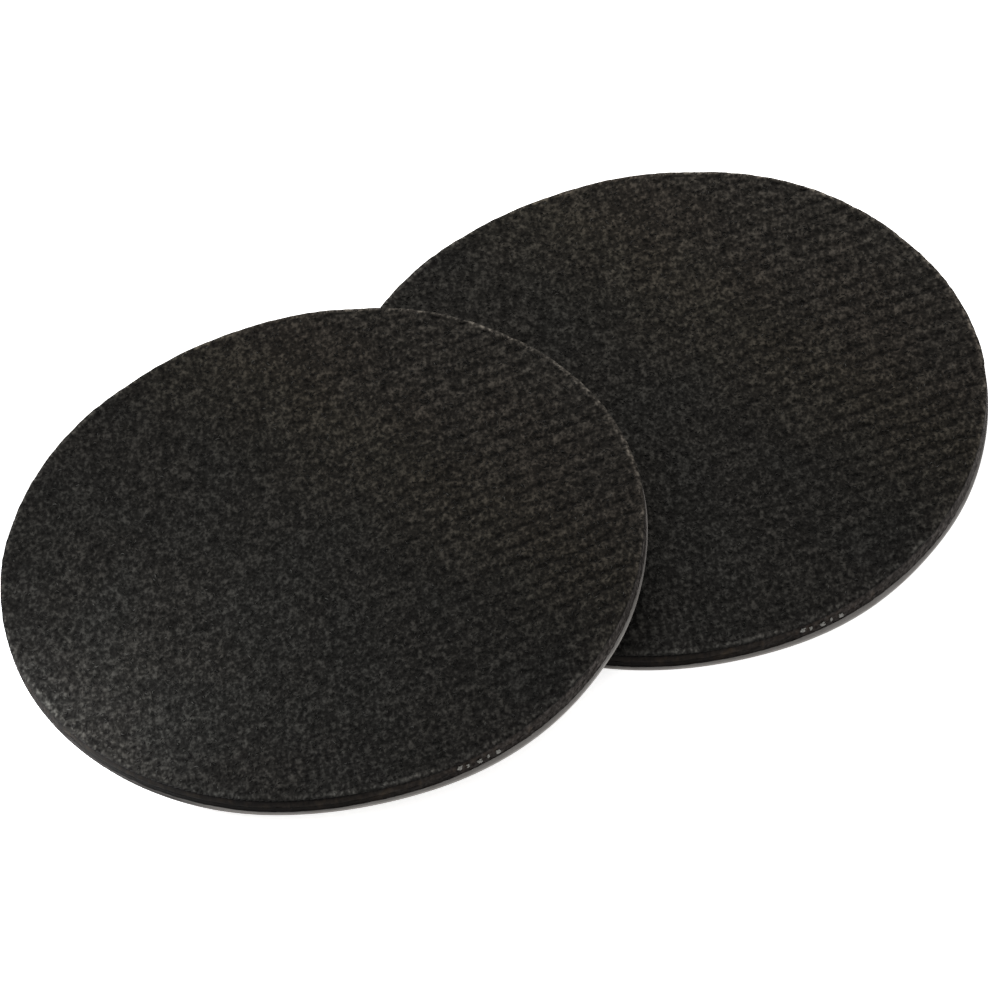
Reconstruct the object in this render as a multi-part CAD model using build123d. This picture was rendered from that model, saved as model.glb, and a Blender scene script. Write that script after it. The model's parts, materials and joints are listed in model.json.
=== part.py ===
from build123d import *
import math
import os

# A set of two slim wobble cushions, 330 mm across and 12.5 mm thick.
# The rear one lies flat. The front one lies half on it, so it slopes up towards +X, a little askew.
# Each is a shallow air cell and a foam topper between a pale base sheet and a napped cover.
# Millimetres, +Z up. The origin is under the middle of the pair, on the surface they lie on.

# Driving dimensions of one cushion, in its own frame: +Z is its axis, z = 0 is what it rests on
cushion_radius = 164.4
base_radius = 164.4
base_offset = (0.0, -0.8)
total_height = 12.5
crown_rise = 0.4
pad_height = 0.5
base_thickness = 1.4
film_thickness = 0.4
weld_width = 5.0
film_gap = 0.05
air_height = 4.35
topper_gap = 0.3
cover_thickness = 1.6
cover_hem_z = 10.45
seam_gap = 0.35

# How the two lie
centre_distance = 195.0
resting_gap = 0.8
askew = 18.0

# Levels, from the surface up
base_top = pad_height + base_thickness
cell_bottom = base_top + film_gap
cell_floor = cell_bottom + film_thickness
cell_top = cell_bottom + air_height
topper_bottom = cell_top + topper_gap
band_top = cover_hem_z - seam_gap

# Cover: a crowned panel with a rounded rim, and a rebate under the rim for the seam thread
shoulder_inset = 3.9
shoulder_radius = cushion_radius - shoulder_inset
shoulder_z = total_height - crown_rise
rim_lip_z = 11.1
rim_bend = (1.0, 0.25)
rebate_depth = 1.2
rebate_radius = cushion_radius - rebate_depth
thread_radius = 0.28

# Side band, topper and air cell
band_thickness = 1.6
band_bulge = 0.5
topper_radius = 160.5
cell_radius = 160.5
cell_side_run = 8.0
cell_fold_width = 1.0

# Valve, under the far side of the cushion
valve_place = (0.0, 105.0)
valve_top_z = 3.6
valve_foot_z = pad_height + 0.1
flange_radius = 8.0
flange_thickness = 0.5
stub_radius = 4.5
bore_radius = 2.05
seat_radius = 3.5
seat_depth = 1.1
plug_radius = 2.0
plug_head_radius = 3.2
plug_head_thickness = 0.8
plug_slot_width = 0.8
plug_slot_depth = 0.7
valve_clearance = 0.15

# Grip pads under the base: one in the middle and a ring of twelve
pad_radius = 11.0
pad_ring_radius = 140.0
pads_in_ring = 12

# Closing stitches at the near side
stitch_radius = 0.45
stitch_stand_off = 0.8
stitch_angles = (-94.2, -92.6, -90.4, -88.6, -86.6)
stitch_lengths = (2.8, 1.2, 2.6, 1.2, 2.6)
stitch_heights = (8.2, 7.3, 6.4, 7.0, 6.3)


def disc(radius, bottom, thickness):
    return Pos(0, 0, bottom) * Cylinder(radius, thickness, align=(Align.CENTER, Align.CENTER, Align.MIN))


def valve_hole():
    return Pos(*valve_place) * Cylinder(stub_radius + valve_clearance, total_height)


def turned(*edges):
    """A solid turned about +Z from a closed outline of (radius, height) edges."""
    return revolve(make_face(Plane.XZ * Curve(list(edges))), Axis.Z)


def dome(radius, top, rim):
    """A shallow arc from the axis at height top out to radius at height rim."""
    return ThreePointArc((0, top), (radius / 2, top - (top - rim) / 4), (radius, rim))


def top_cover():
    inner_top = total_height - cover_thickness
    outer = dome(shoulder_radius, total_height, shoulder_z)
    rim = ThreePointArc(
        (shoulder_radius, shoulder_z),
        (cushion_radius - rim_bend[0], shoulder_z - rim_bend[1]),
        (cushion_radius, rim_lip_z),
    )
    hem = Polyline(
        (cushion_radius, rim_lip_z),
        (rebate_radius, rim_lip_z),
        (rebate_radius, cover_hem_z),
    )
    under = dome(rebate_radius, inner_top, cover_hem_z)
    axis = Line((0, inner_top), (0, total_height))
    return turned(outer, rim, *hem.edges(), under, axis)


def seam_thread():
    middle = ((rebate_radius + cushion_radius) / 2, (cover_hem_z + rim_lip_z) / 2)
    return revolve(Plane.XZ * Pos(*middle) * Circle(thread_radius), Axis.Z)


def closing_stitches():
    """Five short stitches of pale thread that close the last opening, where the cover was turned."""
    stitches = []
    for angle, length, height in zip(stitch_angles, stitch_lengths, stitch_heights):
        bar = Cylinder(stitch_radius, length, rotation=(90, 0, 0))
        bar += Pos(0, length / 2, 0) * Sphere(stitch_radius)
        bar += Pos(0, -length / 2, 0) * Sphere(stitch_radius)
        place = Rot(0, 0, angle) * Pos(cushion_radius + stitch_stand_off, 0, height)
        stitches.append(place * bar.solid())
    return Compound(children=stitches)


def foam_topper():
    inner_top = total_height - cover_thickness - film_gap
    upper = dome(topper_radius, inner_top, cover_hem_z - film_gap)
    sides = Polyline(
        (topper_radius, cover_hem_z - film_gap),
        (topper_radius, topper_bottom),
        (0, topper_bottom),
        (0, inner_top),
    )
    return turned(upper, *sides.edges())


def side_band():
    inner = cushion_radius - band_bulge - band_thickness
    edge = cushion_radius - band_bulge
    outer = ThreePointArc((edge, base_top), (cushion_radius, (base_top + band_top) / 2), (edge, band_top))
    rest = Polyline((edge, band_top), (inner, band_top), (inner, base_top), (edge, base_top))
    return turned(outer, *rest.edges())


def bladder_top():
    """The upper film: flat over the air, turned down round the edge and out into the weld."""
    weld_inner = cell_radius - weld_width
    flat = weld_inner - cell_side_run
    weld_z = cell_floor + film_gap
    outline = Polyline(
        (0, cell_top - film_thickness),
        (flat, cell_top - film_thickness),
        (weld_inner - cell_fold_width, weld_z),
        (cell_radius, weld_z),
        (cell_radius, weld_z + film_thickness),
        (weld_inner, weld_z + film_thickness),
        (flat + cell_fold_width, cell_top),
        (0, cell_top),
        (0, cell_top - film_thickness),
    )
    return turned(*outline.edges())


def bladder_bottom():
    return disc(cell_radius, cell_bottom, film_thickness) - valve_hole()


def base_sheet():
    return Pos(*base_offset) * disc(base_radius, pad_height, base_thickness) - valve_hole()


def grip_pads():
    """Flat round pads, with the ring turned half a step so that the valve is between two of them."""
    pad = disc(pad_radius, 0, pad_height)
    step = 360 / pads_in_ring
    ring = [Rot(0, 0, (n + 0.5) * step) * Pos(pad_ring_radius, 0, 0) * pad for n in range(pads_in_ring)]
    return Compound(children=[pad, *ring])


def valve_body():
    """A flanged stub: the flange is welded inside the lower film, the stub comes out through the base."""
    flange_z = cell_floor + film_gap
    outline = Polyline(
        (bore_radius, valve_top_z),
        (stub_radius, valve_top_z),
        (stub_radius, flange_z + flange_thickness),
        (flange_radius, flange_z + flange_thickness),
        (flange_radius, flange_z),
        (stub_radius, flange_z),
        (stub_radius, valve_foot_z),
        (seat_radius, valve_foot_z),
        (seat_radius, valve_foot_z + seat_depth),
        (bore_radius, valve_foot_z + seat_depth),
        (bore_radius, valve_top_z),
    )
    return Pos(*valve_place) * turned(*outline.edges())


def valve_plug():
    """A stopper that pulls out downwards, with a slot across its head for a fingernail."""
    head_bottom = valve_foot_z + valve_clearance
    head_top = head_bottom + plug_head_thickness
    outline = Polyline(
        (0, head_bottom),
        (plug_head_radius, head_bottom),
        (plug_head_radius, head_top),
        (plug_radius, head_top),
        (plug_radius, valve_top_z),
        (0, valve_top_z),
        (0, head_bottom),
    )
    slot = Pos(0, 0, head_bottom) * Box(2 * plug_head_radius, plug_slot_width, plug_slot_depth)
    return Pos(*valve_place) * (turned(*outline.edges()) - slot)


sub_parts = {
    "top_cover": top_cover,
    "seam_thread": seam_thread,
    "closing_stitches": closing_stitches,
    "foam_topper": foam_topper,
    "side_band": side_band,
    "bladder_top": bladder_top,
    "bladder_bottom": bladder_bottom,
    "base_sheet": base_sheet,
    "grip_pads": grip_pads,
    "valve_body": valve_body,
    "valve_plug": valve_plug,
}

# The front cushion stands on the edge of its base and clears the rear cover by the resting gap.
# Uphill is the level direction in which it rises: from +X, turned the askew angle towards -Y.
uphill = (math.cos(math.radians(askew)), -math.sin(math.radians(askew)))
base_edge = base_radius - base_offset[0] * uphill[0] - base_offset[1] * uphill[1]
reach_to_rear = centre_distance * uphill[0] - shoulder_radius + base_edge
slope = math.asin((shoulder_z + resting_gap + pad_height) / reach_to_rear)
front_height = base_edge * math.sin(slope) - pad_height * math.cos(slope)
tilt = Rot(0, 0, -askew) * Rot(0, -math.degrees(slope), 0) * Rot(0, 0, askew)

# The pair's box runs from the front cover's rim to the rear base's edge, along X and along Y
lean_x = math.sin(slope) * uphill[0]
lean_y = math.sin(slope) * -uphill[1]
front_reach = cushion_radius * math.sqrt(1 - lean_x**2) + rim_lip_z * lean_x
far_reach = cushion_radius * math.sqrt(1 - lean_y**2) + rim_lip_z * lean_y
rear_reach = base_radius + base_offset[0]
near_reach = base_radius - base_offset[1]
rear_x = (centre_distance + front_reach - rear_reach) / 2
front_x = rear_x - centre_distance
side_shift = (near_reach - far_reach) / 2

places = {
    "rear": Pos(rear_x, side_shift, 0),
    "front": Pos(front_x, side_shift, front_height) * tilt,
}

os.makedirs("parts", exist_ok=True)
for cushion, place in places.items():
    for name, make in sub_parts.items():
        export_step(place * make(), f"parts/{cushion}_{name}.step")

print("rear centre", round(rear_x, 3), "front centre", round(front_x, 3), "y", round(side_shift, 3))
print("front height", round(front_height, 3), "slope in degrees", round(math.degrees(slope), 4))
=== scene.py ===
"""Looks for a pair of slim wobble cushions: napped covers, seams, side bands and base sheets.

Each cushion is built in its own frame (z = 0 is what it rests on, +Z its axis) and then put
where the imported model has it. Lengths are metres.
"""
import json
import math

import bpy
import numpy as np
from mathutils import Matrix, Vector


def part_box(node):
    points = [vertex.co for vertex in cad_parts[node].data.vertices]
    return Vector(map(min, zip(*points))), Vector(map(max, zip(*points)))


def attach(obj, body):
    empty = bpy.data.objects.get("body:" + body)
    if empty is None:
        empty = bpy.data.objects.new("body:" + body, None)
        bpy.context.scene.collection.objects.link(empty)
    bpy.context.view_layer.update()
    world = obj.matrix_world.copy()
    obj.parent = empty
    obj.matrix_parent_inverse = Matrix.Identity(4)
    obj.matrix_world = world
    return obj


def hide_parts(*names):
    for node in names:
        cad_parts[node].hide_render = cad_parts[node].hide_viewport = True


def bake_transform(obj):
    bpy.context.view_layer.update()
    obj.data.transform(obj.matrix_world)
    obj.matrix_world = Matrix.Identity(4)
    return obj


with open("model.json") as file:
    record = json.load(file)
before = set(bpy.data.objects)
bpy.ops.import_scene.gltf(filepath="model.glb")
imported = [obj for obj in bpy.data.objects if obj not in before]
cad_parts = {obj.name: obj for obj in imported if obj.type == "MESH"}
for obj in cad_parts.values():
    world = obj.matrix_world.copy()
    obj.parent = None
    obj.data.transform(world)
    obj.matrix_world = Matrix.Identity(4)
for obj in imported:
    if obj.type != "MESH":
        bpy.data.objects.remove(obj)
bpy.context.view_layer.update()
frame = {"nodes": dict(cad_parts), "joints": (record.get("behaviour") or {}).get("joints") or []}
MM = 0.001

# ------------------------------------------------------------------ sizes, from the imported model
joints = {j["name"]: j for j in frame["joints"]}
cover_low, cover_high = (Vector(p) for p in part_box("rear_top_cover"))
band_low, band_high = (Vector(p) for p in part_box("rear_side_band"))
base_low, base_high = (Vector(p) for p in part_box("rear_base_sheet"))
topper_low, topper_high = (Vector(p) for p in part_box("rear_foam_topper"))
valve_low, valve_high = (Vector(p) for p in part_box("rear_valve_body"))
rear_pivot = Vector(joints["rear_rock_fore_and_aft"]["pos_m"])

RADIUS = (cover_high.x - cover_low.x) / 2
TOP_Z = cover_high.z
HEM_Z = cover_low.z
BAND_Z = (band_low.z, band_high.z)
BASE_Z = (base_low.z, base_high.z)
BASE_RADIUS = (base_high.x - base_low.x) / 2
BASE_MIDDLE = (base_low + base_high) / 2 - rear_pivot
CELL_TOP_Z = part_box("rear_bladder_top")[1][2]
VALVE_PLACE = np.array(((valve_low + valve_high) / 2 - rear_pivot)[:2])
TOPPER_RADIUS = (topper_high.x - topper_low.x) / 2
TOPPER_Z = (topper_low.z, topper_high.z)

CROWN_RISE = 0.4 * MM
RIM_ROUND = 3.6 * MM
LIP_Z = TOP_Z - 1.4 * MM
SEED = 7


def cushion_frame(cushion):
    """The matrix from a cushion's own frame to the row frame, read from its two rocking hinges."""
    hinge = joints[f"{cushion}_rock_fore_and_aft"]
    x_axis = Vector(hinge["axis"])
    y_axis = Vector(joints[f"{cushion}_rock_sideways"]["axis"])
    turn = Matrix((x_axis, y_axis, x_axis.cross(y_axis))).transposed().to_4x4()
    return Matrix.Translation(hinge["pos_m"]) @ turn @ Matrix.Translation((0, 0, -rear_pivot.z))


# ------------------------------------------------------------------ camera
# Angles in degrees. The view is square, and its middle is given as right and up from the origin.
CAMERA_ELEVATION = 47.65
CAMERA_AZIMUTH = -23.7
CAMERA_ROLL = 6.95
CAMERA_DISTANCE = 20.0
VIEW_WIDTH = 499.65 * MM
VIEW_MIDDLE = (-1.82 * MM, 5.61 * MM)
# In millimetres, like the lens that goes with it
SENSOR_WIDTH = 36


def add_camera():
    """A long lens far off at the near left, looking down at the pair."""
    elevation, azimuth = math.radians(CAMERA_ELEVATION), math.radians(CAMERA_AZIMUTH)
    level = Vector((-math.sin(azimuth), math.cos(azimuth), 0))
    look = level * math.cos(elevation) + Vector((0, 0, -math.sin(elevation)))
    right = look.cross(Vector((0, 0, 1))).normalized()
    up = right.cross(look)
    roll = math.radians(CAMERA_ROLL)
    right, up = (
        right * math.cos(roll) - up * math.sin(roll),
        up * math.cos(roll) + right * math.sin(roll),
    )
    aim = right * VIEW_MIDDLE[0] + up * VIEW_MIDDLE[1]
    data = bpy.data.cameras.new("camera")
    data.sensor_width = SENSOR_WIDTH
    data.lens = SENSOR_WIDTH * CAMERA_DISTANCE / VIEW_WIDTH
    data.clip_end = 3 * CAMERA_DISTANCE
    camera = bpy.data.objects.new("camera", data)
    bpy.context.collection.objects.link(camera)
    camera.matrix_world = Matrix.Translation(aim - look * CAMERA_DISTANCE) @ Matrix(
        (right, up, -look)
    ).transposed().to_4x4()
    bpy.context.scene.camera = camera


# ------------------------------------------------------------------ number helpers
def lattice_noise(x, y, cell, seed):
    """Smooth noise from 0 to 1, with features about one cell across."""
    size = 256
    values = np.random.RandomState(seed).rand(size, size)
    u, v = x / cell + 1000, y / cell + 1000
    i, j = np.floor(u).astype(int), np.floor(v).astype(int)
    fu, fv = u - i, v - j
    fu, fv = fu * fu * (3 - 2 * fu), fv * fv * (3 - 2 * fv)
    a, b = values[i % size, j % size], values[(i + 1) % size, j % size]
    c, d = values[i % size, (j + 1) % size], values[(i + 1) % size, (j + 1) % size]
    return (a * (1 - fu) + b * fu) * (1 - fv) + (c * (1 - fu) + d * fu) * fv


# How far the outline stands out from a true circle: azimuth and half width in degrees, and millimetres
SWELLS = {
    "front": (
        (-80, 25, 0.5),
        (-116, 24, -1.1),
        (-36, 20, -0.7),
        (42, 20, 1.3),
        (90, 32, -1.9),
        (155, 46, 1.4),
    ),
    "rear": (
        (-88, 24, 0.7),
        (-110, 60, 1.3),
        (-38, 22, -0.7),
        (38, 28, 2.2),
        (86, 20, -1.5),
        (125, 28, 2.0),
    ),
}
# The share of the radius inside which nothing is moved
UNMOVED = 0.6


def swells(angle, bumps):
    """How far out a place round the rim is, from smooth bumps."""
    out = np.zeros(len(angle))
    for azimuth, width, amount in bumps:
        away = np.abs((np.degrees(angle) - azimuth + 180) % 360 - 180) / width
        out += amount * MM * (0.5 + 0.5 * np.cos(math.pi * np.minimum(away, 1)))
    return out


def round_rim(angle, stops):
    """A value at each angle round the rim, between (azimuth in degrees, value) stops."""
    azimuths, values = zip(*stops)
    return np.interp(np.degrees(angle), azimuths, values, period=360)


def swelled(cushion, points):
    """The points of a cushion, moved so that its outline isn't a true circle. The middle stays."""
    x, y, z = points.T
    off = np.hypot(x, y)
    share = np.clip((off / RADIUS - UNMOVED) / (1 - UNMOVED), 0, 1)
    grown = 1 + swells(np.arctan2(y, x), SWELLS[cushion]) * share**2 * (3 - 2 * share) / np.maximum(off, MM)
    return np.stack([x * grown, y * grown, z], -1)


def new_mesh(cushion, name, points, faces, place, material):
    """A mesh object in the row frame. Its "place" attribute keeps each point's own cushion frame place."""
    name = f"{cushion}_{name}"
    points = np.asarray(points, float)
    mesh = bpy.data.meshes.new(name)
    mesh.from_pydata(swelled(cushion, points).tolist(), [], faces)
    spot = mesh.attributes.new("place", "FLOAT_VECTOR", "POINT")
    spot.data.foreach_set("vector", points.astype(np.float32).ravel())
    mesh.transform(place)
    mesh.materials.append(material)
    mesh.polygons.foreach_set("use_smooth", np.ones(len(mesh.polygons), bool))
    mesh.update()
    piece = bpy.data.objects.new(name, mesh)
    bpy.context.collection.objects.link(piece)
    return piece


def add_values(piece, name, values):
    """A number on each point, for the material to read."""
    attribute = piece.data.attributes.new(name, "FLOAT", "POINT")
    attribute.data.foreach_set("value", np.asarray(values, np.float32))


# ------------------------------------------------------------------ materials
def material_nodes(name):
    material = bpy.data.materials.new(name)
    material.use_nodes = True
    nodes, links = material.node_tree.nodes, material.node_tree.links
    return material, nodes, links, nodes["Principled BSDF"]


def add_node(nodes, kind, **inputs):
    node = nodes.new(kind)
    for key, value in inputs.items():
        if key in node.inputs:
            node.inputs[key].default_value = value
        else:
            setattr(node, key, value)
    return node


def ramp(nodes, links, source, stops):
    node = nodes.new("ShaderNodeValToRGB")
    elements = node.color_ramp.elements
    while len(elements) < len(stops):
        elements.new(0.5)
    for element, (position, colour) in zip(elements, stops):
        element.position = position
        element.color = (*colour, 1)
    links.new(source, node.inputs["Fac"])
    return node.outputs["Color"]


def math_node(nodes, links, operation, a, b=0.0):
    node = nodes.new("ShaderNodeMath")
    node.operation = operation
    for socket, value in zip(node.inputs, (a, b)):
        if isinstance(value, (int, float)):
            socket.default_value = value
        else:
            links.new(value, socket)
    return node.outputs[0]


def weighted_sum(nodes, links, *terms):
    """The sum of (value, weight) terms."""
    total = 0.0
    for value, weight in terms:
        total = math_node(nodes, links, "ADD", math_node(nodes, links, "MULTIPLY", value, weight), total)
    return total


def cushion_place(nodes, links, scale=(1, 1, 1), turn=0.0):
    """The point's place in its cushion's own frame, along axes turned about +Z, and divided by the scale."""
    spot = add_node(nodes, "ShaderNodeAttribute", attribute_name="place")
    mapping = nodes.new("ShaderNodeMapping")
    mapping.vector_type = "TEXTURE"
    mapping.inputs["Rotation"].default_value = (0, 0, turn)
    mapping.inputs["Scale"].default_value = scale
    links.new(spot.outputs["Vector"], mapping.inputs["Vector"])
    return mapping.outputs["Vector"]


def noise_node(nodes, links, vector, scale, detail=3.0, roughness=0.55):
    node = add_node(nodes, "ShaderNodeTexNoise", Scale=scale, Detail=detail, Roughness=roughness)
    links.new(vector, node.inputs["Vector"])
    return node.outputs["Fac"]


def mix_colour(nodes, links, share, a, b, blend="MIX"):
    node = nodes.new("ShaderNodeMix")
    node.data_type = "RGBA"
    node.blend_type = blend
    for socket, value in zip((node.inputs[0], node.inputs[6], node.inputs[7]), (share, a, b)):
        if isinstance(value, (int, float)):
            socket.default_value = value
        elif isinstance(value, tuple):
            socket.default_value = (*value, 1)
        else:
            links.new(value, socket)
    return node.outputs[2]


def point_value(nodes, name):
    """What add_values put on the points."""
    return add_node(nodes, "ShaderNodeAttribute", attribute_name=name).outputs["Fac"]


def toned(nodes, links, colour, value, stops):
    """The colour, multiplied by a ramp over the value."""
    return mix_colour(nodes, links, 1.0, colour, ramp(nodes, links, value, stops), "MULTIPLY")


def bump(nodes, links, height, distance, strength=1.0):
    node = add_node(nodes, "ShaderNodeBump", Strength=strength, Distance=distance)
    links.new(height, node.inputs["Height"])
    return node.outputs["Normal"]


NAP_STRETCH = (1.0, 1.4, 1.0)
NAP_TURN = math.radians(-24)
NAP_SCALES = (200, 440, 700)
PLAIN = (1.0, 1.0, 1.0)


def nap_material():
    """Charcoal loop-knit nap: lumps, tufts and grains with painted shade in the low places, dark grooves
    between rows, a painted highlight along the rim, and painted light towards one side.
    """
    material, nodes, links, shader = material_nodes("napped_cover")
    flat = cushion_place(nodes, links)
    stood = cushion_place(nodes, links, NAP_STRETCH, NAP_TURN)
    lumps, tufts, grains = (noise_node(nodes, links, stood, scale, 1.0, 0.5) for scale in NAP_SCALES)
    height = weighted_sum(nodes, links, (lumps, 0.12), (tufts, 0.50), (grains, 0.38))
    # Partly the nap's own mottle and partly painted shade: the colour is darker in the nap's low places
    charcoal_and_shade = [
        (0.34, (0.0013, 0.0012, 0.0011)),
        (0.50, (0.0076, 0.0073, 0.0068)),
        (0.69, (0.0315, 0.0305, 0.0282)),
    ]
    colour = ramp(nodes, links, height, charcoal_and_shade)
    patches = noise_node(nodes, links, flat, 26, 1.0, 0.5)
    cool_to_warm = [(0.40, (0.99, 1.0, 1.0)), (0.60, (1.02, 1.0, 0.98))]
    colour = toned(nodes, links, colour, patches, cool_to_warm)
    # Painted light: the cover is lighter and warmer towards one side
    side_light_tones = [
        (0.12, (1.02, 1.02, 1.01)),
        (0.26, (1.07, 1.07, 1.06)),
        (0.45, (1.05, 1.05, 1.04)),
        (0.54, (0.98, 0.98, 0.96)),
        (0.71, (1.40, 1.30, 1.13)),
        (0.82, (1.42, 1.30, 1.19)),
        (1.00, (1.46, 1.38, 1.29)),
    ]
    colour = toned(nodes, links, colour, point_value(nodes, "painted_side_light"), side_light_tones)
    grooved = [(0.0, PLAIN), (1.0, (0.16, 0.15, 0.15))]
    colour = toned(nodes, links, colour, point_value(nodes, "groove"), grooved)
    # Painted highlight along the rim
    highlighted = [(0.0, PLAIN), (1.0, (3.4, 3.4, 3.4))]
    colour = toned(nodes, links, colour, point_value(nodes, "rim_highlight"), highlighted)
    links.new(colour, shader.inputs["Base Color"])
    links.new(bump(nodes, links, height, 1.2 * MM), shader.inputs["Normal"])
    shader.inputs["Roughness"].default_value = 0.95
    shader.inputs["Specular IOR Level"].default_value = 0.06
    shader.inputs["Sheen Weight"].default_value = 0.015
    shader.inputs["Sheen Roughness"].default_value = 0.4
    return material


def fibre_material():
    """Loose fibres, from near black to a few pale ones."""
    material, nodes, links, shader = material_nodes("nap_fibres")
    tones = [
        (0.0, (0.004, 0.0038, 0.0035)),
        (0.6, (0.012, 0.0115, 0.0105)),
        (0.9, (0.026, 0.025, 0.023)),
        (1.0, (0.07, 0.07, 0.066)),
    ]
    links.new(ramp(nodes, links, point_value(nodes, "shade"), tones), shader.inputs["Base Color"])
    shader.inputs["Roughness"].default_value = 0.8
    shader.inputs["Specular IOR Level"].default_value = 0.15
    return material


def band_material():
    """Brown-black woven strip, with painted light and shade by height: painted shade under the seam and near
    the base, painted light where it bows out. Painted light on one side, painted shade on the other.
    """
    material, nodes, links, shader = material_nodes("side_band")
    flat = cushion_place(nodes, links)
    upright = cushion_place(nodes, links, (1, 1, 3))
    threads = noise_node(nodes, links, upright, 420, 2.0, 0.6)
    mottle = noise_node(nodes, links, flat, 150, 2.0, 0.6)
    height = weighted_sum(nodes, links, (threads, 0.5), (mottle, 0.5))
    tones = [
        (0.38, (0.0018, 0.0012, 0.0009)),
        (0.52, (0.0060, 0.0042, 0.0030)),
        (0.70, (0.018, 0.0125, 0.008)),
    ]
    colour = ramp(nodes, links, height, tones)
    split = nodes.new("ShaderNodeSeparateXYZ")
    links.new(flat, split.inputs["Vector"])
    level = math_node(nodes, links, "MULTIPLY", split.outputs["Z"], 1 / TOP_Z)
    # Painted light and shade by height: dark near the base, light where the band bows out, dark under the
    # seam
    band_light_and_shade = [
        (0.15, (0.70, 0.60, 0.52)),
        (0.38, (0.42, 0.36, 0.33)),
        (0.56, (2.1, 2.2, 2.3)),
        (0.70, (1.5, 1.5, 1.5)),
        (0.79, (0.25, 0.25, 0.25)),
    ]
    colour = toned(nodes, links, colour, level, band_light_and_shade)
    coarse, fine = noise_node(nodes, links, flat, 420, 1.0, 0.5), noise_node(nodes, links, flat, 760)
    fuzz = weighted_sum(nodes, links, (coarse, 0.55), (fine, 0.45))
    # Painted light: the band is lighter and warmer on one side
    lit_band_tones = [(0.36, (0.007, 0.0061, 0.0056)), (0.50, (0.029, 0.0255, 0.0235)), (0.66, (0.078, 0.070, 0.065))]
    colour = mix_colour(nodes, links, point_value(nodes, "band_light"), colour, ramp(nodes, links, fuzz, lit_band_tones))
    # Painted shade: the band is darker on the other side
    colour = mix_colour(nodes, links, 1.0, colour, point_value(nodes, "band_shade"), "MULTIPLY")
    links.new(colour, shader.inputs["Base Color"])
    links.new(bump(nodes, links, height, 0.7 * MM), shader.inputs["Normal"])
    shader.inputs["Roughness"].default_value = 0.9
    shader.inputs["Specular IOR Level"].default_value = 0.1
    return material


def thread_material(name, dark, light):
    """Twisted sewing thread, between two tones."""
    material, nodes, links, shader = material_nodes(name)
    flat = cushion_place(nodes, links)
    plies = noise_node(nodes, links, flat, 2500, 1.0, 0.5)
    links.new(ramp(nodes, links, plies, [(0.3, dark), (0.7, light)]), shader.inputs["Base Color"])
    links.new(bump(nodes, links, plies, 0.15 * MM), shader.inputs["Normal"])
    shader.inputs["Roughness"].default_value = 0.8
    shader.inputs["Specular IOR Level"].default_value = 0.1
    return material


def base_material():
    """Pale grey non-slip sheet: matt, mottled, with a fine grain. Its cut edge is painted near black in
    places, as painted shade.
    """
    material, nodes, links, shader = material_nodes("base_sheet")
    spot = nodes.new("ShaderNodeTexCoord").outputs["Object"]
    cells = add_node(nodes, "ShaderNodeTexVoronoi", Scale=650.0)
    links.new(spot, cells.inputs["Vector"])
    mottle = noise_node(nodes, links, spot, 60, 4.0, 0.6)
    colour = ramp(nodes, links, mottle, [(0.3, (0.18, 0.168, 0.157)), (0.7, (0.235, 0.224, 0.213))])
    # Painted shade: the cut edge is near black in places
    colour = mix_colour(nodes, links, point_value(nodes, "edge_shade"), colour, (0.016, 0.014, 0.013))
    links.new(colour, shader.inputs["Base Color"])
    links.new(bump(nodes, links, cells.outputs["Distance"], 0.2 * MM, 0.6), shader.inputs["Normal"])
    shader.inputs["Roughness"].default_value = 0.75
    shader.inputs["Specular IOR Level"].default_value = 0.15
    return material


def moulded_material(name, low, high, roughness, scale=300.0):
    """Vinyl film or a moulding of rubber or vinyl, with a fine grain."""
    material, nodes, links, shader = material_nodes(name)
    spot = nodes.new("ShaderNodeTexCoord")
    mottle = noise_node(nodes, links, spot.outputs["Object"], scale, 4.0, 0.6)
    links.new(ramp(nodes, links, mottle, [(0.3, low), (0.7, high)]), shader.inputs["Base Color"])
    rough = math_node(nodes, links, "MULTIPLY", mottle, 0.3)
    links.new(math_node(nodes, links, "ADD", rough, roughness - 0.15), shader.inputs["Roughness"])
    links.new(bump(nodes, links, mottle, 0.1 * MM, 0.5), shader.inputs["Normal"])
    return material


def foam_material():
    """Dark grey open-cell foam."""
    material, nodes, links, shader = material_nodes("foam")
    flat = cushion_place(nodes, links)
    cells = add_node(nodes, "ShaderNodeTexVoronoi", Scale=700.0)
    links.new(flat, cells.inputs["Vector"])
    tones = [(0.1, (0.02, 0.02, 0.02)), (0.6, (0.07, 0.07, 0.072))]
    links.new(ramp(nodes, links, cells.outputs["Distance"], tones), shader.inputs["Base Color"])
    links.new(bump(nodes, links, cells.outputs["Distance"], 0.4 * MM), shader.inputs["Normal"])
    shader.inputs["Roughness"].default_value = 0.95
    return material


# ------------------------------------------------------------------ the napped cover
PANEL_CELLS = 276
ROW_PITCH = 10.1 * MM
ROW_TURN = math.radians(-6)
ROW_BEND = 1.8 * MM
ROW_BEND_LENGTH = 45 * MM
DASH_LENGTH = 8.5 * MM
DASH_WIDTH = 1.0 * MM
DASH_TURN = math.radians(14)


def disc_grid(cells):
    """A square grid bent onto the unit disc, cells all about one size: x, y, quads, the rim's points."""
    side = np.linspace(-1, 1, cells + 1)
    a, b = np.meshgrid(side, side, indexing="ij")
    wide = np.abs(a) >= np.abs(b)
    radius = np.where(wide, a, b)
    safe = np.where(radius == 0, 1, radius)
    angle = np.where(wide, math.pi / 4 * b / safe, math.pi / 2 - math.pi / 4 * a / safe)
    x, y = radius * np.cos(angle), radius * np.sin(angle)
    index = np.arange((cells + 1) ** 2).reshape(cells + 1, cells + 1)
    quads = np.stack([index[:-1, :-1], index[1:, :-1], index[1:, 1:], index[:-1, 1:]], -1).reshape(-1, 4)
    rim = np.concatenate([index[:-1, 0], index[-1, :-1], index[:0:-1, -1], index[0, :0:-1]])
    return x.ravel(), y.ravel(), quads, rim


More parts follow.
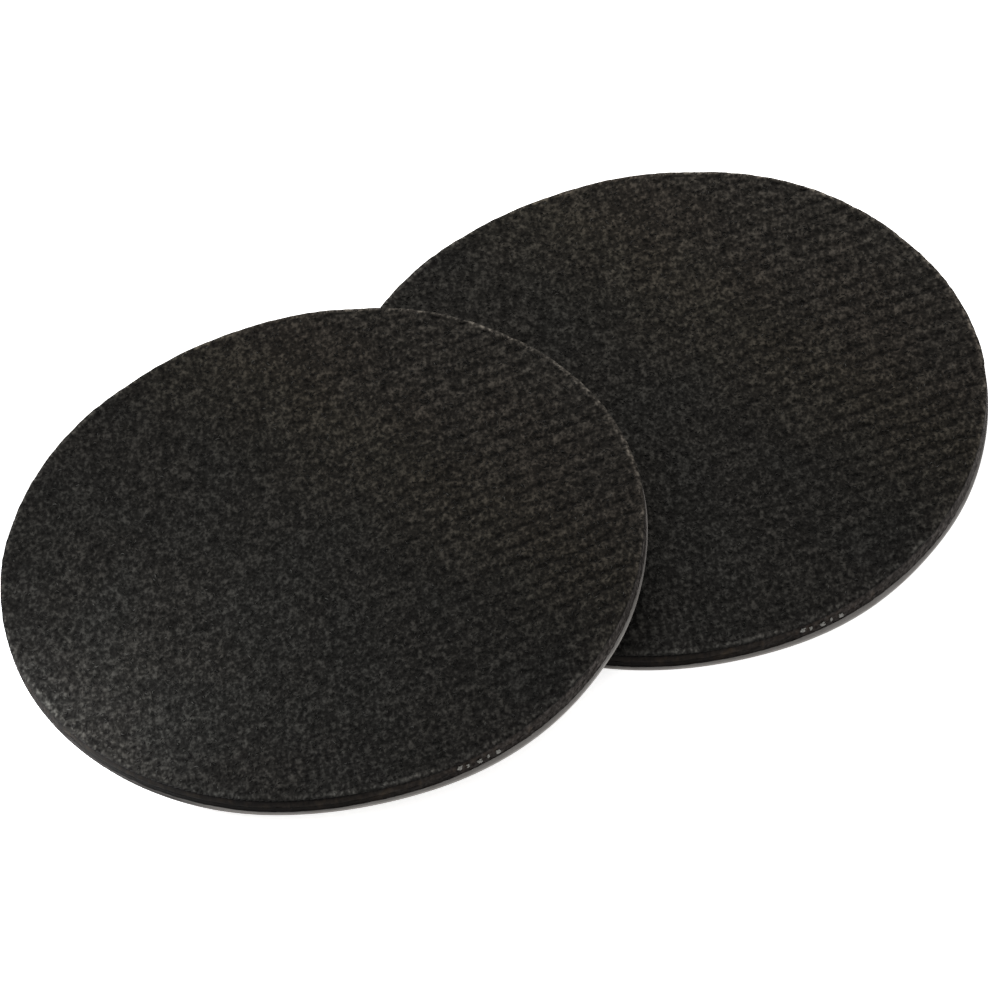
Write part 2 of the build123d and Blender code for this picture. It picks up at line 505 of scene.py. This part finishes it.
def row_grooves(x, y):
    """How deep a point is, 0 to 1, between the knitted rows: a soft valley with short dark dashes in it.

    Each dash lies a little across its row. The rows are plainest at the right of the cover.
    """
    along = x * math.cos(ROW_TURN) + y * math.sin(ROW_TURN)
    across = -x * math.sin(ROW_TURN) + y * math.cos(ROW_TURN)
    bend = ROW_BEND * (lattice_noise(along, across, ROW_BEND_LENGTH, SEED) - 0.5)
    phase = (across + bend) / ROW_PITCH
    row = np.floor(phase)
    chance = np.random.RandomState(SEED + 9).rand(64, 64)
    shifted = along / DASH_LENGTH + chance[row.astype(int) % 64, 0]
    dash = np.floor(shifted)
    strong = chance[row.astype(int) % 64, dash.astype(int) % 64]
    u = shifted - dash - 0.5
    from_line = (phase - row - 0.5) * ROW_PITCH + math.tan(DASH_TURN) * u * DASH_LENGTH
    line = np.exp(-((from_line / DASH_WIDTH) ** 2)) * np.clip(2.5 * np.cos(math.pi * u) - 0.4, 0, 1)
    valley = 0.5 - 0.5 * np.cos(2 * math.pi * phase)
    side = np.clip((x * 0.97 - y * 0.25) / RADIUS * 1.6, 0, 1)
    strength = 0.32 + 0.68 * side
    return np.clip(0.32 * valley + 0.95 * line * (0.35 + 0.65 * strong), 0, 1) * strength


# Lumps, tufts and slow unevenness: how long each is, and how high in millimetres
NAP_LAYERS = ((5.0 * MM, 0.12), (2.2 * MM, 0.42), (60 * MM, 0.35))
GROOVE_DEPTH = 0.5


def nap_height(x, y):
    """How far the nap stands up from the smooth cover: its layers of unevenness, less the grooves."""
    height = 0
    for n, (length, rise) in enumerate(NAP_LAYERS, 1):
        height = height + rise * (lattice_noise(x, y, length, SEED + n) - 0.5)
    return (height - GROOVE_DEPTH * row_grooves(x, y)) * MM


RIM_STEPS = 8
# Azimuth in degrees, and how far the rim is rolled down over the seam: 0 open, 1 shut
SEAM_SHUT = ((-85, 0), (-65, 1), (-20, 1), (5, 0))
# Azimuth in degrees, and how strong the painted highlight on the rim is
RIM_HIGHLIGHT = (
    (-175, 0.4),
    (-155, 0.2),
    (-145, 0.55),
    (-130, 0.85),
    (-112, 0.7),
    (-95, 0.8),
    (-80, 0.35),
    (-50, 0.3),
    (-20, 0.8),
    (0, 1.5),
    (20, 1.4),
    (45, 1.0),
    (90, 0.6),
    (140, 0.9),
)


def top_cover(cushion, place, material):
    """The panel, its rounded rim, the hem tucked under and the hidden inside, as one closed skin."""
    x, y, quads, rim = disc_grid(PANEL_CELLS)
    share = np.hypot(x, y)
    shoulder = RADIUS - RIM_ROUND
    x, y = x * shoulder, y * shoulder
    z = TOP_Z - CROWN_RISE * share**2
    points = [np.stack([x, y, z + nap_height(x, y)], -1)]
    faces = [quads]
    angle = np.arctan2(y[rim], x[rim])
    shoulder_z = TOP_Z - CROWN_RISE
    ring, count = rim, len(x)
    profile = []
    for step in range(1, RIM_STEPS + 1):
        turn = math.radians(90) * step / RIM_STEPS
        height = LIP_Z + (shoulder_z - LIP_Z) * math.cos(turn)
        profile.append((shoulder + RIM_ROUND * math.sin(turn), height, 1.0))
    shut = round_rim(angle, SEAM_SHUT)
    rolled = HEM_Z - 0.15 * MM
    # The lip, the rebate under it, and the hem tucked in
    profile += [
        (RADIUS - (0.5 - 0.25 * shut) * MM, (LIP_Z - 0.25 * MM) * (1 - shut) + rolled * shut, 0.3),
        (RADIUS - 1.3 * MM, (LIP_Z - 0.15 * MM) * (1 - shut) + rolled * shut, 0.0),
        (RADIUS - 1.4 * MM, HEM_Z, 0.0),
        (RADIUS - 4.0 * MM, HEM_Z + 0.1 * MM, 0.0),
    ]
    for radius, height, ruffle in profile:
        spot = angle * RADIUS, angle * 0 + height
        uneven = ruffle * 0.45 * MM * (lattice_noise(*spot, 4 * MM, SEED + 4) - 0.5)
        uneven += ruffle * 0.7 * MM * (lattice_noise(*spot, 26 * MM, SEED + 5) - 0.5)
        out = radius + uneven - 0.3 * MM * ruffle
        up = height + ruffle * nap_height(radius * np.cos(angle), radius * np.sin(angle)) * 0.6
        points.append(np.stack([out * np.cos(angle), out * np.sin(angle), up], -1))
        new_ring = count + np.arange(len(rim))
        faces.append(np.stack([ring, new_ring, np.roll(new_ring, -1), np.roll(ring, -1)], -1))
        ring, count = new_ring, count + len(rim)
    inside = ring[::-1].tolist()
    points = np.concatenate(points)
    faces = np.concatenate(faces).tolist() + [inside]
    piece = new_mesh(cushion, "cover_skin", points, faces, place, material)
    x, y, z = points.T
    off, around = np.hypot(x, y), np.arctan2(y, x)
    broken = lattice_noise(around * RADIUS, off, 4 * MM, SEED + 10)
    broken *= lattice_noise(around * RADIUS, off, 22 * MM, SEED + 11)
    at_rim = np.clip(1 - np.abs(off - (RADIUS - 1.6 * MM)) / (1.9 * MM), 0, 1) * (z > LIP_Z + 0.2 * MM)
    add_values(piece, "groove", row_grooves(x, y) * (off < RADIUS - 2 * MM))
    # Painted highlight along the rim, broken up
    add_values(piece, "rim_highlight", at_rim * np.clip((0.15 + broken * 2.6) * round_rim(around, RIM_HIGHLIGHT), 0, 1))
    # Painted light towards one side of the cover
    add_values(piece, "painted_side_light", 0.5 + 0.5 * (0.94 * x + 0.34 * y) / RADIUS)
    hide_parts(f"{cushion}_top_cover")
    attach(piece, f"{cushion}_top")
    return piece


# ------------------------------------------------------------------ loops and stray fibres of the nap
def skin_height(x, y):
    """The cover skin's height at a place on it, rim included."""
    off = np.hypot(x, y)
    rim_share = np.clip((off - (RADIUS - RIM_ROUND)) / RIM_ROUND, 0, 1)
    drop = (TOP_Z - CROWN_RISE - LIP_Z) * (1 - np.sqrt(1 - rim_share**2))
    return TOP_Z - CROWN_RISE * (off / RADIUS) ** 2 - drop + nap_height(x, y)


def strands(cushion, place, material, name, kind, seed):
    """Closed three-sided tubes, bent and arched over the skin: short loops of pile, or long stray hairs."""
    random = np.random.RandomState(seed)
    count, steps = kind["count"], 5
    distance = (RADIUS - 1.6 * MM) * np.sqrt(random.rand(count))
    around = random.rand(count) * 2 * math.pi
    x, y = distance * np.cos(around), distance * np.sin(around)
    heading = random.rand(count) * 2 * math.pi
    reach = random.uniform(*kind["length"], count)
    bend = random.uniform(-1, 1, count) * kind["bend"]
    girth = random.uniform(*kind["girth"], count)
    arch = random.uniform(*kind["arch"], count)
    shade = kind["shade"][0] + (kind["shade"][1] - kind["shade"][0]) * random.rand(count) ** 2
    points = np.zeros((count, steps, 3, 3))
    for step in range(steps):
        share = step / (steps - 1)
        turned = heading + bend * (share - 0.5)
        walk = reach * (share - 0.5)
        px, py = x + walk * np.cos(turned), y + walk * np.sin(turned)
        pull = np.minimum(1, (RADIUS - 0.9 * MM) / np.maximum(np.hypot(px, py), 1e-9))
        px, py = px * pull, py * pull
        swell = math.sin(math.pi * share)
        pz = skin_height(px, py) + arch * swell - girth * 0.5
        taper = girth * (0.5 + 0.5 * swell)
        for corner in range(3):
            turn = 2 * math.pi * corner / 3 + math.pi / 2
            points[:, step, corner, 0] = px - np.sin(turned) * math.cos(turn) * taper
            points[:, step, corner, 1] = py + np.cos(turned) * math.cos(turn) * taper
            points[:, step, corner, 2] = pz + math.sin(turn) * taper
    first = (np.arange(count) * steps * 3)[:, None, None]
    sides = []
    for ring in range(0, 3 * (steps - 1), 3):
        for corner in range(3):
            a, b = ring + corner, ring + (corner + 1) % 3
            sides.append((a, a + 3, b + 3, b))
    last = 3 * steps
    quads = (first + np.array(sides)[None]).reshape(-1, 4).tolist()
    caps = (first + np.array([(0, 1, 2), (last - 1, last - 2, last - 3)])[None]).reshape(-1, 3).tolist()
    piece = new_mesh(cushion, name, points.reshape(-1, 3), quads + caps, place, material)
    add_values(piece, "shade", np.repeat(shade, steps * 3))
    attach(piece, f"{cushion}_top")


PILE_LOOPS = {
    "count": 6800,
    "length": (1.4 * MM, 2.8 * MM),
    "bend": 1.4,
    "girth": (0.22 * MM, 0.36 * MM),
    "arch": (0.15 * MM, 0.55 * MM),
    "shade": (0.0, 0.95),
}
STRAY_HAIRS = {
    "count": 60,
    "length": (4 * MM, 11 * MM),
    "bend": 2.6,
    "girth": (0.10 * MM, 0.16 * MM),
    "arch": (0.3 * MM, 0.8 * MM),
    "shade": (0.6, 0.95),
}


# ------------------------------------------------------------------ side band, seam and stitches
# Points round a band or a base
EDGE_STEPS = 720
BAND_THICKNESS = 2.0 * MM
BAND_BULGE = 0.5 * MM
BAND_OUTER_POINTS = 6


def ring_faces(rings, steps):
    """Quads from each ring of points to the next, and from the last back to the first."""
    faces = []
    for k in range(rings):
        a, b = k * steps + np.arange(steps), ((k + 1) % rings) * steps + np.arange(steps)
        faces.append(np.stack([a, np.roll(a, -1), np.roll(b, -1), b], -1))
    return np.concatenate(faces).tolist()


def lathe(profile, steps, wobble=None):
    """Points and quads of a closed (radius, height) profile turned about +Z, its radius uneven by wobble."""
    angle = np.linspace(0, 2 * math.pi, steps, endpoint=False)
    rings = []
    for k, (radius, height) in enumerate(profile):
        out = radius + (wobble(angle, k) if wobble else 0)
        rings.append(np.stack([out * np.cos(angle), out * np.sin(angle), np.full(steps, height)], -1))
    return np.concatenate(rings), ring_faces(len(profile), steps)


def band_profile(low, high, middle):
    """Outer side from low to high, bulging out round middle, then back down the inside."""
    half = (BAND_Z[1] - BAND_Z[0]) / 2
    heights = np.linspace(low, high, BAND_OUTER_POINTS)
    outer = [(RADIUS - BAND_BULGE * ((z - middle) / half) ** 2, z) for z in heights]
    inner = RADIUS - BAND_THICKNESS
    return outer + [(inner, high), (inner, low)]


# Azimuth in degrees, and how light the band is painted, as painted shade where below 1, then how much painted
# light is on it
BAND_SHADE = ((-170, 0.4), (-150, 0.2), (-130, 0.4), (-112, 0.68), (-95, 1.0), (90, 1.0))
BAND_LIGHT = (
    (-150, 0.0),
    (-115, 0.05),
    (-95, 0.28),
    (-65, 0.7),
    (-45, 1.0),
    (-20, 0.7),
    (60, 0.3),
    (180, 0.1),
)


def side_band(cushion, place, material):
    """A strip in two halves: the lower bends from the base to the air cell, the upper on to the cover."""
    middle = sum(BAND_Z) / 2

    def wobble(angle, k):
        slow = lattice_noise(angle * RADIUS, angle * 0 + 3, 30 * MM, SEED + 6) - 0.5
        fine = lattice_noise(angle * RADIUS, angle * 0 + k * 2.0, 2.4 * MM, SEED + 7) - 0.5
        return (0.4 * slow + 0.35 * fine - 0.25) * MM if k < BAND_OUTER_POINTS else angle * 0

    for name, low, high, first in (("lower", BAND_Z[0], middle, 0), ("upper", middle, BAND_Z[1], 1)):
        points, faces = lathe(band_profile(low, high, middle), EDGE_STEPS, wobble)
        piece = new_mesh(cushion, f"side_band_{name}", points, faces, place, material)
        around = np.arctan2(points[:, 1], points[:, 0])
        # Painted light on one side of the band, painted shade on the other
        add_values(piece, "band_light", round_rim(around, BAND_LIGHT))
        add_values(piece, "band_shade", round_rim(around, BAND_SHADE))
        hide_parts(f"{cushion}_side_band")
        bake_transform(piece)


def capsule(length, radius, sides=8):
    """Points and faces of a round-ended bar along +Y, its middle at the origin."""
    rings = []
    for turn in (-80, -50, -20, 20, 50, 80):
        reach = math.radians(turn)
        middle = math.copysign(length / 2 - radius, turn)
        rings.append((middle + radius * math.sin(reach), radius * math.cos(reach)))
    points = []
    for along, out in rings:
        for k in range(sides):
            turn = 2 * math.pi * k / sides
            points.append((out * math.cos(turn), along, out * math.sin(turn)))
    faces = []
    for k in range(len(rings) - 1):
        for n in range(sides):
            a, b = k * sides + n, k * sides + (n + 1) % sides
            faces.append((a, a + sides, b + sides, b))
    faces.append(tuple(range(sides)))
    faces.append(tuple(reversed(range(len(points) - sides, len(points)))))
    return points, faces


def gather(parts):
    """Joins (points, faces, matrix) parts into one set of points and faces."""
    points, faces = [], []
    for part_points, part_faces, matrix in parts:
        first = len(points)
        points += [tuple(matrix @ Vector(p)) for p in part_points]
        faces += [tuple(first + n for n in face) for face in part_faces]
    return np.array(points), faces


STITCH_PITCH = 3.3 * MM
STITCH_RADIUS = 0.27 * MM
STITCH_SLANT = math.radians(9)


def seam_thread(cushion, place, material):
    """Slanted lockstitches in the rebate under the cover's rim."""
    count = round(2 * math.pi * RADIUS / STITCH_PITCH)
    shape = capsule(STITCH_PITCH * 0.92, STITCH_RADIUS)
    parts = []
    seat = Matrix.Translation((RADIUS - 0.6 * MM, 0, (HEM_Z + LIP_Z) / 2 - 0.1 * MM))
    for n in range(count):
        turn = Matrix.Rotation(2 * math.pi * n / count, 4, "Z")
        parts.append((*shape, turn @ seat @ Matrix.Rotation(STITCH_SLANT, 4, "X")))
    points, faces = gather(parts)
    piece = new_mesh(cushion, "lockstitch", points, faces, place, material)
    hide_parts(f"{cushion}_seam_thread")
    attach(piece, f"{cushion}_top")


STRANDS_IN_STITCH = 14
# Angle in degrees, length and height in millimetres
CLOSING_STITCHES = (
    (-94.2, 3.8, 8.2),
    (-92.6, 1.8, 7.3),
    (-90.4, 3.6, 6.4),
    (-88.6, 1.8, 7.0),
    (-86.6, 3.6, 6.3),
)


def closing_stitches(cushion, place, material):
    """Tufts of loose strands of pale thread, which hold the cover to the band."""
    random = np.random.RandomState(SEED + 20)
    parts = []
    for angle, length, height in CLOSING_STITCHES:
        for strand in range(STRANDS_IN_STITCH):
            shape = capsule(length * MM * random.uniform(0.3, 0.55), random.uniform(0.24, 0.36) * MM)
            level = height + 0.13 * (strand - (STRANDS_IN_STITCH - 1) / 2)
            aside = random.uniform(-0.22, 0.22) * length * MM
            lift = Matrix.Translation((RADIUS + random.uniform(0.1, 0.6) * MM, aside, level * MM))
            lean = Matrix.Rotation(random.uniform(-0.6, 0.6), 4, "X")
            yaw = Matrix.Rotation(random.uniform(-0.2, 0.2), 4, "Z")
            parts.append((*shape, Matrix.Rotation(math.radians(angle), 4, "Z") @ lift @ lean @ yaw))
    points, faces = gather(parts)
    piece = new_mesh(cushion, "closing_thread", points, faces, place, material)
    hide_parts(f"{cushion}_closing_stitches")
    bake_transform(piece)


# ------------------------------------------------------------------ base sheet, air cell and topper
VALVE_HOLE_RADIUS = 4.65 * MM
# Bumps of the cut edge, like SWELLS
BASE_EDGE = ((-83, 26, 1.2), (-172, 45, -0.4), (-32, 26, -0.5))
# Azimuth in degrees, and how dark the cut edge is painted, as painted shade
BASE_EDGE_SHADE = (
    (-180, 1.0),
    (-147, 1.0),
    (-130, 0.2),
    (-110, 0.0),
    (-52, 0.0),
    (-35, 0.5),
    (-15, 0.7),
    (60, 0.3),
    (150, 1.0),
)


def base_sheet(cushion, place, material):
    """A flat sheet with an uneven cut edge, no lower than the floor, in rings from the valve's hole to it."""
    angle = np.linspace(0, 2 * math.pi, EDGE_STEPS, endpoint=False)
    edge = BASE_RADIUS + swells(angle, BASE_EDGE)
    rim = np.stack([edge * np.cos(angle) + BASE_MIDDLE.x, edge * np.sin(angle) + BASE_MIDDLE.y], -1)
    heading = rim - VALVE_PLACE
    heading /= np.linalg.norm(heading, axis=1)[:, None]
    hole = VALVE_PLACE + heading * VALVE_HOLE_RADIUS
    soft = 0.3 * MM
    low, high = BASE_Z
    inward = [(share, 0, high) for share in (0.98, 0.75, 0.5, 0.25, 0)]
    outward = [(share, 0, low) for share in (0, 0.25, 0.5, 0.75, 0.98)]
    cut = [(1, soft, low), (1, 0, low + soft), (1, 0, high - soft), (1, soft, high)]
    points, edge_shade = [], []
    for share, inset, height in outward + cut + inward:
        flat = hole + (rim - hole) * share - heading * inset
        points.append(np.column_stack([flat, np.full(len(flat), height)]))
        edge_shade.append(round_rim(angle, BASE_EDGE_SHADE) * (share == 1))
    faces = ring_faces(len(points), EDGE_STEPS)
    piece = new_mesh(cushion, "base", np.concatenate(points), faces, place, material)
    # The painted shade on the cut edge
    add_values(piece, "edge_shade", np.concatenate(edge_shade))
    for vertex in piece.data.vertices:
        vertex.co.z = max(vertex.co.z, 0.0)
    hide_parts(f"{cushion}_base_sheet")
    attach(piece, f"{cushion}_base")


def flat_disc(cushion, name, profile, steps, place, material):
    """A turned disc. Its profile runs out along the under side and back in along the upper one."""
    points, faces = lathe(profile, steps)
    total = len(profile)
    middle = [f for f in faces if min(f) < steps and max(f) >= (total - 1) * steps]
    faces = [f for f in faces if f not in middle]
    faces += [list(range(steps))[::-1], list(range((total - 1) * steps, total * steps))]
    return new_mesh(cushion, name, points, faces, place, material)


# The film's thickness
FILM = 0.2 * MM
FLAT_STEPS = 180
WALL_STEPS = 360
CELL_TOP_RADIUS = 147 * MM
# Radius and height of the fold, then inner radius, outer radius and height of the weld
CELL_FOLD = (150 * MM, 5.1 * MM)
CELL_WELD = (155.5 * MM, 160.5 * MM, 2.4 * MM)


def air_cell(cushion, place, material):
    """The upper film, in three: a flat top, and a wall that bends at its fold, down to the weld."""
    bodies = [f"{cushion}_base", f"{cushion}_air_cell", f"{cushion}_top"]
    top_z = CELL_TOP_Z
    low = top_z - FILM
    shares = (0.02, 0.4, 0.8)
    under = [(share * CELL_TOP_RADIUS, low) for share in shares] + [(CELL_TOP_RADIUS, low)]
    over = [(CELL_TOP_RADIUS, top_z)] + [(share * CELL_TOP_RADIUS, top_z) for share in shares[::-1]]
    top = flat_disc(cushion, "cell_top", under + over, FLAT_STEPS, place, material)
    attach(top, bodies[2])
    fold_radius, fold_z = CELL_FOLD
    weld_in, weld_out, weld_z = CELL_WELD
    upper = [
        (fold_radius - FILM, fold_z),
        (fold_radius, fold_z),
        (CELL_TOP_RADIUS + FILM, top_z),
        (CELL_TOP_RADIUS, low),
    ]
    lower = [
        (weld_in - FILM, weld_z),
        (weld_out, weld_z),
        (weld_out, weld_z + FILM),
        (weld_in, weld_z + FILM),
        (fold_radius, fold_z),
        (fold_radius - FILM, fold_z),
    ]
    walls = (("cell_wall_lower", lower, 0, weld_z + FILM, fold_z), ("cell_wall_upper", upper, 1, fold_z, low))
    for name, profile, first, start, end in walls:
        piece = new_mesh(cushion, name, *lathe(profile, WALL_STEPS), place, material)
        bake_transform(piece)
        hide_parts(f"{cushion}_bladder_top")
    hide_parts(f"{cushion}_bladder_top")


# The lower edge is cut away, from the flat's radius out to TOPPER_CUT, a radius and a height, and on to
# the foot of the side
TOPPER_FLAT_RADIUS = 146 * MM
TOPPER_CUT = (151 * MM, 1.6 * MM)
TOPPER_SIDE_FOOT = 1.9 * MM
TOPPER_CHAMFER = 1.0 * MM


def foam_topper(cushion, place, material):
    """A flat pad whose lower edge is cut away, so that it clears the air cell's wall as it rocks."""
    low, high = TOPPER_Z
    under = [(share * TOPPER_RADIUS, low) for share in (0.02, 0.3, 0.6)] + [(TOPPER_FLAT_RADIUS, low)]
    edge = [
        (TOPPER_CUT[0], low + TOPPER_CUT[1]),
        (TOPPER_RADIUS, low + TOPPER_SIDE_FOOT),
        (TOPPER_RADIUS, high - TOPPER_CHAMFER),
    ]
    over = [(TOPPER_RADIUS - TOPPER_CHAMFER, high)]
    over += [(share * TOPPER_RADIUS, high) for share in (0.9, 0.6, 0.3, 0.02)]
    piece = flat_disc(cushion, "foam", under + edge + over, FLAT_STEPS, place, material)
    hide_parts(f"{cushion}_foam_topper")
    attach(piece, f"{cushion}_top")


# ------------------------------------------------------------------ surroundings
FLOOR_GLOW = 0.6


def add_floor():
    """A white floor that glows a little, so that it stays white round the pair."""
    material, _, _, shader = material_nodes("floor")
    shader.inputs["Base Color"].default_value = (0.93, 0.93, 0.93, 1)
    shader.inputs["Roughness"].default_value = 0.9
    shader.inputs["Emission Color"].default_value = (1, 1, 1, 1)
    shader.inputs["Emission Strength"].default_value = FLOOR_GLOW
    mesh = bpy.data.meshes.new("floor")
    side = 6.0
    corners = [(-side, -side, 0), (side, -side, 0), (side, side, 0), (-side, side, 0)]
    mesh.from_pydata(corners, [], [(0, 1, 2, 3)])
    mesh.materials.append(material)
    floor = bpy.data.objects.new("floor", mesh)
    bpy.context.collection.objects.link(floor)


def add_light(name, spot, aim, size, power, colour):
    """A round area light at spot, turned to aim, that the camera doesn't see."""
    data = bpy.data.lights.new(name, "AREA")
    data.shape = "DISK"
    data.size = size
    data.energy = power
    data.color = colour
    lamp = bpy.data.objects.new(name, data)
    bpy.context.collection.objects.link(lamp)
    lamp.location = spot
    lamp.visible_camera = False
    lamp.rotation_euler = (Vector(aim) - Vector(spot)).to_track_quat("-Z", "Y").to_euler()


def add_surroundings():
    scene = bpy.context.scene
    scene.view_settings.view_transform = "Standard"
    world = bpy.data.worlds.new("world")
    world.use_nodes = True
    world.node_tree.nodes["Background"].inputs["Color"].default_value = (1.0, 1.0, 1.0, 1)
    world.node_tree.nodes["Background"].inputs["Strength"].default_value = 1.0
    scene.world = world
    add_floor()
    add_light("low_left", (-0.32, -0.03, 0.08), (-0.22, -0.02, 0.02), 0.06, 0.40, (0.97, 0.99, 1.0))
    add_light("back", (0.50, 0.70, 0.50), (0.05, 0.0, 0.0), 0.60, 9.0, (1.0, 0.94, 0.86))


def main():
    add_camera()
    add_surroundings()
    nap, fibres, band = nap_material(), fibre_material(), band_material()
    black_thread = thread_material("seam_thread", (0.004, 0.004, 0.004), (0.012, 0.011, 0.010))
    pale_thread = thread_material("closing_thread", (0.08, 0.077, 0.070), (0.25, 0.245, 0.23))
    foam = foam_material()
    base = base_material()
    film = moulded_material("vinyl_film", (0.05, 0.05, 0.055), (0.09, 0.09, 0.095), 0.35, 60.0)
    moulded = {
        "bladder_bottom": film,
        "grip_pads": moulded_material("silicone", (0.11, 0.107, 0.10), (0.15, 0.145, 0.14), 0.6),
        "valve_body": moulded_material("valve_vinyl", (0.03, 0.03, 0.03), (0.05, 0.05, 0.05), 0.45),
        "valve_plug": moulded_material("plug_rubber", (0.02, 0.02, 0.02), (0.04, 0.04, 0.04), 0.6),
    }
    for cushion in ("rear", "front"):
        place = cushion_frame(cushion)
        top_cover(cushion, place, nap)
        strands(cushion, place, fibres, "pile_loops", PILE_LOOPS, SEED + 30)
        strands(cushion, place, fibres, "stray_hairs", STRAY_HAIRS, SEED + 31)
        side_band(cushion, place, band)
        seam_thread(cushion, place, black_thread)
        closing_stitches(cushion, place, pale_thread)
        foam_topper(cushion, place, foam)
        air_cell(cushion, place, film)
        base_sheet(cushion, place, base)
        for name, material in moulded.items():
            node = frame["nodes"][f"{cushion}_{name}"]
            for slot in node.material_slots:
                slot.material = material


main()
